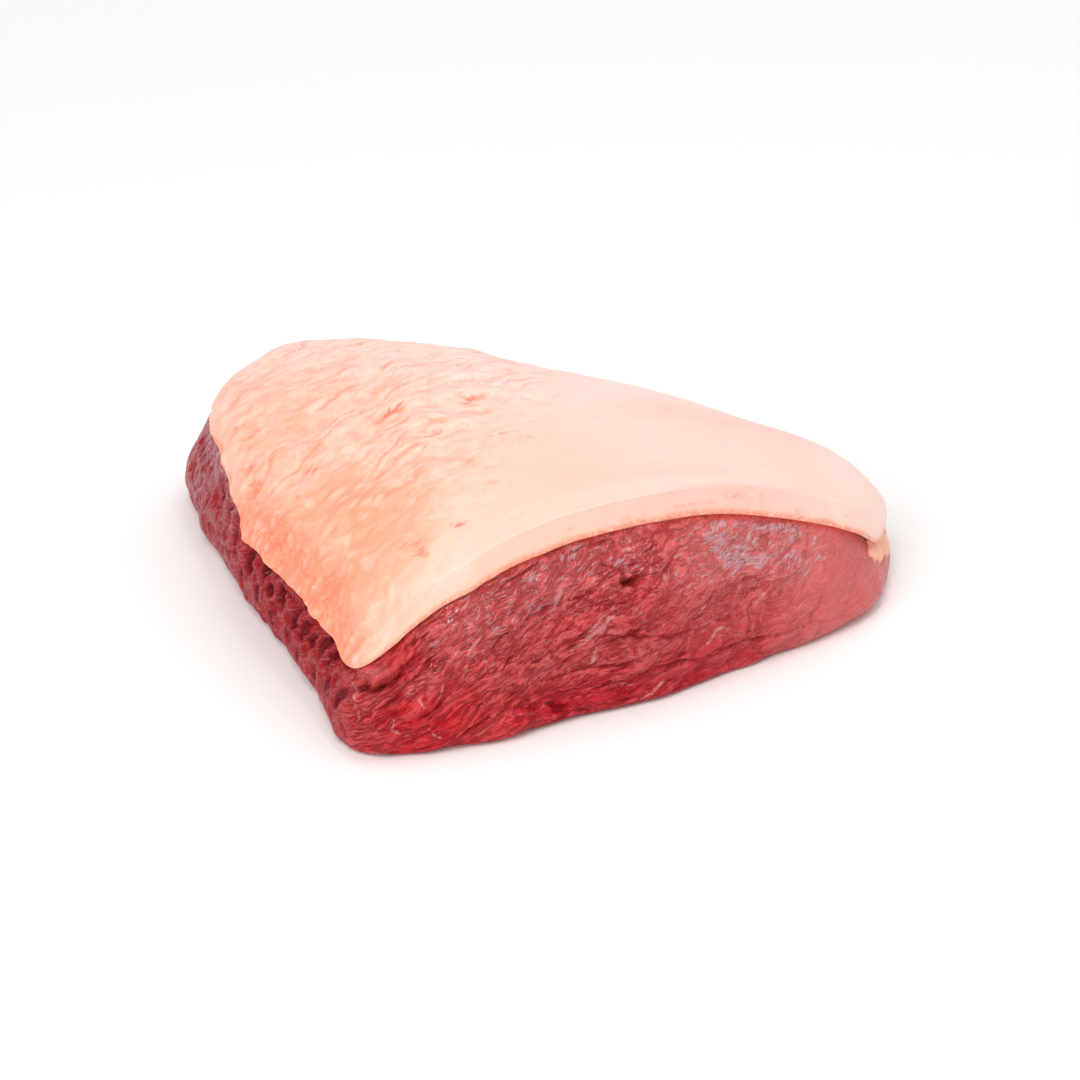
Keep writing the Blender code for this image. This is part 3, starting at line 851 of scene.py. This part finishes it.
def dome_start(peak, inner, outer):
    """The ring halfway to the inner one, and the same ring across the peak, on one smooth dome."""
    offset = inner[:, :2] - peak[:, :2]
    lift = inner[:, 2] - peak[:, 2]
    slope = np.linalg.lstsq(offset, lift, rcond=None)[0]
    beyond = np.column_stack([peak[:, :2] - offset, peak[:, 2] + lift - 2 * (offset @ slope)])
    halfway = read_between(np.array([beyond, peak, inner, outer]), np.array([1.5]))[0]
    half_offset = offset / 2
    half_lift = halfway[:, 2] - peak[:, 2]
    opposite = np.column_stack(
        [peak[:, :2] - half_offset, peak[:, 2] + half_lift - 2 * (half_offset @ slope)]
    )
    return opposite, halfway


opposite, halfway = dome_start(peak, fat_rings[0], fat_rings[2])
top = finer_ring(np.array([opposite, peak, halfway, *fat_rings[:9]]), FAT_SEGMENTS)
rim_rings = finer_ring(fat_rings[9:], FAT_SEGMENTS)
edge_ring, lip_upper, lip_lower = rim_rings[2], rim_rings[3].copy(), rim_rings[4].copy()
edge_out = (edge_ring - rim_rings[0]) * (1, 1, 0)
edge_out /= np.linalg.norm(edge_out, axis=1, keepdims=True)
at_front = smooth_step(0.15, 0.55, -edge_out[:, 1])
back_step = LEAN_BACK + (LEAN_BACK_FRONT - LEAN_BACK) * at_front
drop = CREST_DROP + (CREST_DROP_FRONT - CREST_DROP) * at_front
crest_ring = edge_ring - edge_out * back_step[:, None]
crest_ring[:, 2] = edge_ring[:, 2] + EDGE_TOP - drop
waver = LIP_WAVER * noise_on(lip_upper[None], 8, 5.5)[0] * (0.5 + 0.5 * at_front)
waver += 0.28 * noise_on(lip_upper[None], 3.2, 1.5)[0] * (0.15 + 0.85 * at_front)
at_tip = smooth_step(92, 104, edge_ring[:, 0]) * smooth_step(20, 5, edge_ring[:, 1])
at_corner = np.exp(-((edge_ring[:, :2] - CORNER) ** 2).sum(axis=1) / CORNER_SIZE**2)
at_left = smooth_step(-25, -60, edge_ring[:, 0]) * (1 - at_corner)

# How far the left rim reaches out at each Y. It draws back towards the near corner and bares the lean
RIM_REACHES = (
    (-84, 0.0), (-78, -0.7), (-68, -1.8), (-58, -2.5), (-48, -3.0), (-40, -2.3), (-32, -1.2),
    (-22, 0.1), (-8, -0.1), (8, 0.0),
)
reach_at = np.interp(edge_ring[:, 1], *zip(*RIM_REACHES)) * smooth_step(-25, -45, edge_ring[:, 0])
swing = 1.0 * noise_on(lip_upper[None], 17, 2.1)[0]
swing += 0.4 * noise_on(lip_upper[None], 8.5, 6.6)[0]
swing = swing * at_left + reach_at
for ring, reach in ((crest_ring, CREST_REACH), (lip_upper, TIP_REACH), (lip_lower, TIP_REACH)):
    ring += edge_out * (reach * at_tip + CORNER_REACH * at_corner + swing)[:, None]
drawn_back = np.maximum(-swing, 0)
hang = TIP_DROP * at_tip + CORNER_DROP * at_corner - RIM_PULL * drawn_back
lip_upper[:, 2] -= (LIP_DROP + waver) * (1 - 0.6 * smooth_step(0, 1.5, drawn_back)) + hang
lip_lower[:, 2] -= LIP_DROP * 0.4 + hang

top_rows = read_between(top, np.linspace(1, len(top) - 1, TOP_ROWS + 1))
share = np.linspace(0, 1, TOP_ROWS + 1)
top_rows[:, :, 2] -= smooth_step(0.7, 1.0, share)[:, None] * drop * 0.95


def straight(first, last, count):
    """Rows on straight lines from the first ring to the last, without the first."""
    return first + (last - first) * np.linspace(0, 1, count + 1)[1:, None, None]


crest_rows = straight(top_rows[-1], crest_ring, CREST_ROWS)
cut_rows = straight(crest_ring, lip_upper, CUT_ROWS)
lip_rows = straight(lip_upper, lip_lower, LIP_ROWS)
under_peak = np.broadcast_to(fat_peak - (0, 0, MIDDLE_DEPTH), lip_lower.shape)[None]
fat = np.concatenate([top_rows, crest_rows, cut_rows, lip_rows, rim_rings[5:8], under_peak])
crest_row = TOP_ROWS + CREST_ROWS
last_cut_row = crest_row + CUT_ROWS
first_soft = TOP_ROWS - SOFT_ROWS
soft = slice(first_soft, last_cut_row)
crisp = at_front * smooth_step(-45, 25, edge_ring[:, 0])  # the edge is crisp along the front only
softness = 0.5 * (1 - 0.9 * crisp)[None, :, None]
for _ in range(EDGE_PASSES):
    between = (fat[first_soft - 1 : last_cut_row - 1] + fat[first_soft + 1 : last_cut_row + 1]) / 2
    fat[soft] += softness * (between - fat[soft])
fat_out = surface_normals(fat)
fat_out[0] = (0, 0, 1)
row_number = np.arange(len(fat))[:, None]


def on_rows(values):
    """Values that are the same all round, spread over the whole grid."""
    return np.broadcast_to(values, fat.shape[:2])


shown = on_rows(smooth_step(last_cut_row + LIP_ROWS, last_cut_row - 1, row_number))
cut = on_rows(smooth_step(crest_row - 1, crest_row + 3, row_number)) * shown
crest_highlight = on_rows(bell((row_number - crest_row) / 1.6))
down_cut = on_rows(np.clip((row_number - crest_row) / CUT_ROWS, 0, 1))
fat_x, fat_y, fat_z = np.moveaxis(fat, 2, 0)

# The torn flaps run from the lower left to the upper right, and the fat gets smoother to the right
FLAP_TURN = math.radians(43)
run = np.array([math.cos(FLAP_TURN), math.sin(FLAP_TURN), 0])
beside = np.array([-math.sin(FLAP_TURN), math.cos(FLAP_TURN), 0])
fat_sway = 4.2 * noise_on(fat, 26, 2.9) + 2.3 * noise_on(fat, 9, 6.1)
fat_sway += 0.7 * noise_on(fat, 4, 1.2)
flaps = np.stack([fat @ run, fat @ beside + fat_sway, fat_z], axis=2)
rough = 1 - 0.9 * smooth_step(-34, 16, fat_x - 0.35 * fat_y + 6 * noise_on(fat, 16, 1.1))
lumps = noise_on(flaps, (20, 10, 20), 1.3)
folds = np.abs(noise_on(flaps, (15, 4.6, 10), 5.9)) ** 0.8
fat_relief = 1.0 * lumps * rough + 0.3 * (folds - 0.35) * rough
fat_relief += 0.25 * noise_on(fat, (40, 22, 30), 4.4)
crumbs = noise_on(flaps, (5.0, 2.9, 4.0), 12.3)
fat_relief += 0.5 * crumbs * rough
calm_back = 1 - 0.45 * smooth_step(25, 65, fat_y)
fat_relief *= calm_back

# Torn sheets overlap like shingles: each rises in a short step that faces the front, then thins out
SHEET_STEP = 9.0  # mm from one torn edge to the next
SHEET_RISE = 0.2  # share of that which the step takes
SHEET_RELIEF = 1.5
wander = 0.55 * noise_on(flaps, (24, 13, 16), 8.8) + 0.18 * noise_on(flaps, (8, 6.5, 6.5), 2.6)
wander += 0.09 * noise_on(fat, 3.4, 5.1)
layer = flaps[:, :, 1] / SHEET_STEP + wander
part = layer - np.floor(layer)
torn_fat = smooth_step(-0.05, 0.35, noise_on(flaps, (17, 9, 12), 3.6)) * rough
rim_gap = np.linalg.norm(fat - lip_upper, axis=2)
sheet_relief = SHEET_RELIEF * calm_back * smooth_step(2, 11, rim_gap)
fat_relief += sheet_relief * torn_fat * (smooth_step(0, SHEET_RISE, part) - part)

# Small nodules crowd together in a belt by the left rim, towards the near corner
NODULE_SIZE, NODULE_RELIEF = (4.6, 3.2, 4.0), 1.1
belt = smooth_step(19, 9, rim_gap + 4 * noise_on(fat, 12, 7.5))
belt = belt * smooth_step(-44, -56, fat_x) * smooth_step(0, -22, fat_y) * (1 - 0.9 * cut) * shown
nodule_edge = gap_to_wall(flaps + 0.9 * fat_sway[:, :, None], NODULE_SIZE)
fat_relief += NODULE_RELIEF * belt * (smooth_step(-0.1, 0.5, nodule_edge) - 0.75)

# Rounded lobes by the left rim. Each gives X, Y, size and height
FAT_LOBES = (
    (-55, -67, 3.0, 1.2), (-58.5, -62, 3.4, 1.7), (-62, -57, 2.8, 1.3), (-70, -46, 4.2, 1.1),
    (-64, -50, 2.6, 0.9), (-76, -33, 3.6, 0.9), (-83, -20, 3.6, 0.9), (-50, -72, 3.0, 0.8),
    (-88, -2, 4.0, 0.8),
)
for x, y, size, height in FAT_LOBES:
    reach = ((fat_x - x) ** 2 + (fat_y - y) ** 2) / size**2
    fat_relief += height * np.exp(-(reach**1.6))

# Torn pits, some of them blood-stained. Each gives X, Y, half length, half width, depth and stain.
FAT_PITS = (
    (-43, 11, 5.5, 1.6, 1.8, 1.0), (-58, 13, 6.0, 1.3, 1.0, 0.4), (-17, 18, 5.0, 1.5, 1.4, 0.8),
    (-29, -6, 3.5, 1.3, 1.1, 0.9), (-34, -30, 3.0, 1.2, 0.9, 0.5), (-62, -27, 6.0, 1.3, 0.9, 0.3),
    (-66, -11, 5.5, 1.6, 1.3, 0.6), (-86, 1, 3.5, 1.7, 1.4, 0.9), (-83, -8, 2.8, 1.4, 1.3, 0.9),
    (-88, 17, 3.6, 1.5, 1.0, 0.6), (-19, -56, 2.4, 1.4, 0.9, 0.8), (-30, -62, 4.5, 1.8, 0.8, 0.5),
    (-72, -41, 5.0, 2.0, 1.6, 0.8), (-75, -35, 3.6, 1.5, 1.3, 0.8), (-8, -9, 3.6, 1.0, 0.7, 0.5),
    (-14, 41, 4.0, 1.2, 0.9, 0.7), (-57, -62, 3.0, 1.4, 1.0, 0.6), (-60, -66, 2.6, 1.4, 1.0, 0.7),
    (-47, 30, 6.0, 1.2, 0.8, 0.3), (-30, 60, 5.0, 1.1, 0.8, 0.3), (-70, 50, 5.0, 1.3, 0.8, 0.35),
    (5, 48, 4.0, 1.0, 0.6, 0.3), (45, 20, 2.2, 0.8, 0.5, 0.4), (-52, -14, 3.4, 1.1, 0.8, 0.4),
    (62, 8, 1.8, 0.7, 0.4, 0.4), (-45, -48, 3.4, 1.2, 0.8, 0.3), (-20, -28, 4.0, 1.1, 0.6, 0.3),
    (-29.5, -65.5, 3.0, 1.4, 0.9, 0.8), (-34, -62.5, 5.0, 1.2, 0.8, 0.5), (-85, -5, 3.0, 1.3, 1.1, 0.8),
    (-68, -23, 4.0, 1.0, 0.8, 0.4), (-45, 1, 4.5, 1.1, 0.8, 0.4), (-75, -29, 3.0, 1.2, 0.9, 0.6),
)
SMALL_PITS = 60
SMALL_PIT_RANGES = ((-95, 2), (-62, 62), (1.5, 4.2), (0.7, 1.2), (0.3, 0.9), (0.15, 0.55))
small_pits = [[pick.uniform(*span) for span in SMALL_PIT_RANGES] for _ in range(SMALL_PITS)]
blood = np.zeros(fat.shape[:2])
shift_run = 2.4 * noise_on(fat, 5, 9.9) + 1.2 * noise_on(fat, 2.4, 4.9)
shift_beside = 1.4 * noise_on(fat, 4, 3.3) + 0.8 * noise_on(fat, 2.2, 6.3)
for x, y, half_length, half_width, depth, stain in (*FAT_PITS, *small_pits):
    from_pit = np.stack([fat_x - x, fat_y - y, 0 * fat_x], axis=2)
    along_pit = (from_pit @ run + shift_run) / half_length
    over_pit = (from_pit @ beside + shift_beside) / half_width
    reach = along_pit**2 + over_pit**2 * np.where(over_pit > 0, 1.0, 0.35)
    shaded_dent = np.exp(-(reach**1.1)) * (1 - cut)
    fat_relief -= depth * shaded_dent
    blood = np.maximum(blood, stain * np.exp(-reach / 1.4) * (1 - cut))
fat_relief = np.maximum(fat_relief, -DEEPEST_DENT)
ragged = smooth_step(-38, -66, fat_x) * on_rows(smooth_step(crest_row - 8, crest_row + 2, row_number))
ragged = ragged * shown
smooth_cut = cut * crisp
fat_relief = fat_relief * (1 - 0.8 * smooth_cut) + smooth_cut * 0.3 * noise_on(fat, (9, 9, 5), 3.7)
uneven = noise_on(fat, (13, 13, 8), 7.1) + 0.25 * noise_on(fat, (6.5, 6.5, 4.5), 1.9)
fat_relief += ragged * 1.2 * (uneven - 0.2)
crest_line = crest_highlight * smooth_step(-20, 30, fat_x) * at_front
fat_relief += 0.18 * crest_line
fat_shape = fat + fat_out * (fat_relief * shown)[:, :, None]

# The red marks on the cut edge. Each gives X from and to, how far down the edge, and its half height
EDGE_MARKS = (
    (41, 56, 0.64, 0.05), (58, 65, 0.46, 0.09), (69, 70.5, 0.4, 0.14), (80, 83, 0.72, 0.1),
    (28, 30.5, 0.74, 0.1), (96, 98, 0.5, 0.1), (12, 14, 0.6, 0.08),
)
edge_mark = np.zeros(fat.shape[:2])
level_waver = 0.06 * noise_on(fat, (4, 4, 40), 8.1)
for low_x, high_x, level, half_height in EDGE_MARKS:
    inside = band(fat_x, low_x - 1, low_x + 1, high_x - 1, high_x + 1)
    off_level = (down_cut + level_waver - level) / half_height
    edge_mark = np.maximum(edge_mark, inside * bell(off_level))
edge_mark *= cut * at_front

front_lip = smooth_step(-60, -35, fat_x) * smooth_step(0.0, 0.3, at_front)
# Orange towards the near left corner: partly the fat's own tone, partly painted shade
orange_tone_and_shade = smooth_step(48, 24, np.hypot((fat_x + 60) * np.where(fat_x > -60, 1.15, 1.0), fat_y + 54))
along_rim = smooth_step(-58, -80, fat_x) * smooth_step(60, 30, fat_y)
rim_orange = smooth_step(20, 5, rim_gap) * smooth_step(-41, -50, fat_x) * smooth_step(10, -20, fat_y)
fat_marks = {
    "flaps": flaps,
    "orange_tone_and_shade": np.maximum(orange_tone_and_shade, 0.3 * along_rim),
    "rim_orange": rim_orange * shown,
    # more orange towards the left: partly the fat's own tone, partly painted shade
    "left_tone_and_shade": smooth_step(5, -70, fat_x),
    "cream": smooth_step(66, 22, np.hypot(fat_x - 2, fat_y + 40)),
    # paler towards the back: partly the fat's own tone, partly painted light
    "pale_and_lit_back": smooth_step(-30, 70, fat_y + 0.5 * fat_x),
    "cut": smooth_cut * (1 - 0.8 * smooth_step(64, 90, fat_x)),
    "layer": layer,
    "torn_fat": torn_fat * (1 - smooth_cut),
    # painted orange shade in the gaps between the nodules
    "nodule_gap_shade": belt * smooth_step(0.4, 0.05, nodule_edge),
    "crumb": crumbs,
    "right_side": band(fat_x, 10, 50, 80, 98) * smooth_step(45, 15, fat_y),
    "blood": blood,
    "junction": smooth_step(2.2, 0.3, rim_gap) * np.maximum(cut, 1 - shown) * front_lip,
    "glow": smooth_step(4.5, 0.5, rim_gap) * cut * front_lip,
    # a paler painted highlight along the crest above the cut edge
    "crest_highlight": crest_line,
    "rough": rough * (1 - smooth_cut),
    "left_rim": ragged,
    # painted orange shade where the relief dips
    "shaded_dent": smooth_step(0.1, -1.1, fat_relief) * shown,
    "edge_mark": edge_mark,
}
fat_piece = wrapped_sheet("fat", fat_shape, fat_marks)

fat_finish = bpy.data.materials.new("raw_fat")
fat_finish.use_nodes = True
tree = fat_finish.node_tree
flaps_at = mark_of(tree, "flaps", "Vector")
rough_at = mark_of(tree, "rough")
pale_and_lit_back_at = mark_of(tree, "pale_and_lit_back")
crumb_at = mark_of(tree, "crumb")
blood_at = mark_of(tree, "blood")
strings_broad, strings_fine = mottle(flaps_at, (6, 2.8, 5))
streaks_broad, streaks_fine = mottle(flaps_at, (11, 5.5, 9))
blotches_broad = mottle(flaps_at, (26, 12, 20))[0]
warm_at = (1 - pale_and_lit_back_at * 0.6) * rough_at
peach_tone_and_shade = mark_of(tree, "orange_tone_and_shade") * (rise(streaks_broad, 0.3, 0.7, 0.45) + 0.55)

# Crumbs of torn fat, with a painted highlight on top and painted orange shade in the small hollows
# between them
grit = soft_noise(flaps_at, (2.4, 1.4, 2.0), 3, 0.6, 0.8)
crumb_hollow_shade = calc("ADD", rise(crumb_at, -0.08, -0.42), rise(grit, 0.42, 0.3, 0.7), True) * warm_at

# The painted orange shadow under each torn edge, and painted orange shade in the finer creases that run
# the same way
in_layer = calc("FRACT", mark_of(tree, "layer"))
under_edge = larger(rise(in_layer, 0.82, 0.99), rise(in_layer, 0.12, 0.01))
under_edge = under_edge * (mark_of(tree, "torn_fat") * rise(strings_fine, 0.36, 0.54))
CREASE_STEP = 3.4  # mm from one crease to the next
crease_noise = soft_noise(flaps_at, (14, 6, 10), 3, 0.5, 0.2)
crease_level = calc("DIVIDE", part_of(flaps_at, "Y"), CREASE_STEP) + crease_noise * 3.0
crease_shade = thin_line(calc("FRACT", crease_level) - 0.5, 0.09, streaks_fine, 2.6)
crease_shade = crease_shade * warm_at * rise(blotches_broad, 0.46, 0.6)

# Blood in the torn pits, in shreds, and in dots on the cut edge
shreds = soft_noise(flaps_at, (4.2, 0.8, 3), 3, 0.6, 0.4)
stain = rise(blood_at + (shreds - 0.5) * 2.4, 0.38, 0.85) * rise(blood_at, 0.06, 0.35)
dots = soft_noise(flaps_at, (1.6, 1.1, 1.1), 2, 0.5)

base = tint(rise(blotches_broad, 0.35, 0.65), (0.99, 0.58, 0.48), (0.995, 0.65, 0.56))
base = layered(tree, base, (
    # more orange towards the left: partly the fat's own tone, partly painted shade
    ("left_tone_and_shade", 0.75, (0.99, 0.51, 0.385)),
    ("cream", 0.95, (0.99, 0.555, 0.44)),
    # paler towards the back: partly the fat's own tone, partly painted light
    (pale_and_lit_back_at, 0.9, (0.995, 0.72, 0.655)),
    ("right_side", 0.9, (0.99, 0.6, 0.52)),
    # orange towards the near left corner: partly the fat's own tone, partly painted shade
    (peach_tone_and_shade, 0.97, (0.99, 0.32, 0.17)),
    (warm_at * rise(streaks_fine, 0.5, 0.64), 0.55, (0.98, 0.37, 0.24)),
    (rough_at * rise(strings_broad, 0.54, 0.68), 0.3, (0.995, 0.68, 0.57)),
    # painted orange shade in the hollows between the crumbs
    (crumb_hollow_shade, 0.45, (0.97, 0.37, 0.24)),
    # painted highlight on the tops of the crumbs
    (rise(crumb_at, 0.1, 0.5) * rough_at, 0.3, (0.995, 0.7, 0.6)),
    (under_edge, 0.65, (0.96, 0.31, 0.185)),
    # painted orange shade in the fine creases
    (crease_shade, 0.45, (0.97, 0.38, 0.24)),
    # painted orange shade in the gaps between the nodules
    ("nodule_gap_shade", 0.5, (0.95, 0.3, 0.2)),
    # painted orange shade where the relief dips
    ("shaded_dent", 0.5, (0.96, 0.37, 0.23)),
    (stain, 0.8, (0.9, 0.2, 0.115)),
    ("cut", 0.85, (0.985, 0.5, 0.42)),
    # a paler painted highlight along the crest above the cut edge
    ("crest_highlight", 0.6, (0.995, 0.72, 0.61)),
    ("left_rim", 0.25, (0.97, 0.46, 0.35)),
    (mark_of(tree, "rim_orange") * rise(streaks_fine, 0.3, 0.62), 0.9, (0.98, 0.22, 0.115)),
    (mark_of(tree, "edge_mark") * rise(dots, 0.4, 0.6), 0.55, (0.9, 0.27, 0.19)),
    ("glow", 0.35, (0.97, 0.5, 0.33)),
    (mark_of(tree, "junction") * rise(strings_fine, 0.34, 0.52), 0.75, (0.82, 0.2, 0.1)),
))
height = strings_fine * 0.2 + strings_broad * 0.7 + streaks_fine * 0.5 + grit * 1.1
height = (height - crease_shade * 0.35 - under_edge * 0.5) * (rough_at * 0.85 + 0.1)
FAT_BUMP = {"Height": height, "Strength": 1.0, "Distance": 0.3 * MM}
feed_node(tree.nodes["Principled BSDF"], {
    "Base Color": base,
    "Roughness": strings_fine * 0.3 + 0.32,
    "Specular IOR Level": 0.4,
    "Subsurface Weight": 0.15,
    "Subsurface Radius": (1.0, 0.5, 0.3),
    "Subsurface Scale": 2.5 * MM,
    "Coat Weight": 0.1,
    "Coat Roughness": 0.3,
    "Normal": add_node("ShaderNodeBump", FAT_BUMP, "Normal"),
})
fat_piece.data.materials.append(fat_finish)

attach(fat_piece, "root")
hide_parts("fat_cap")
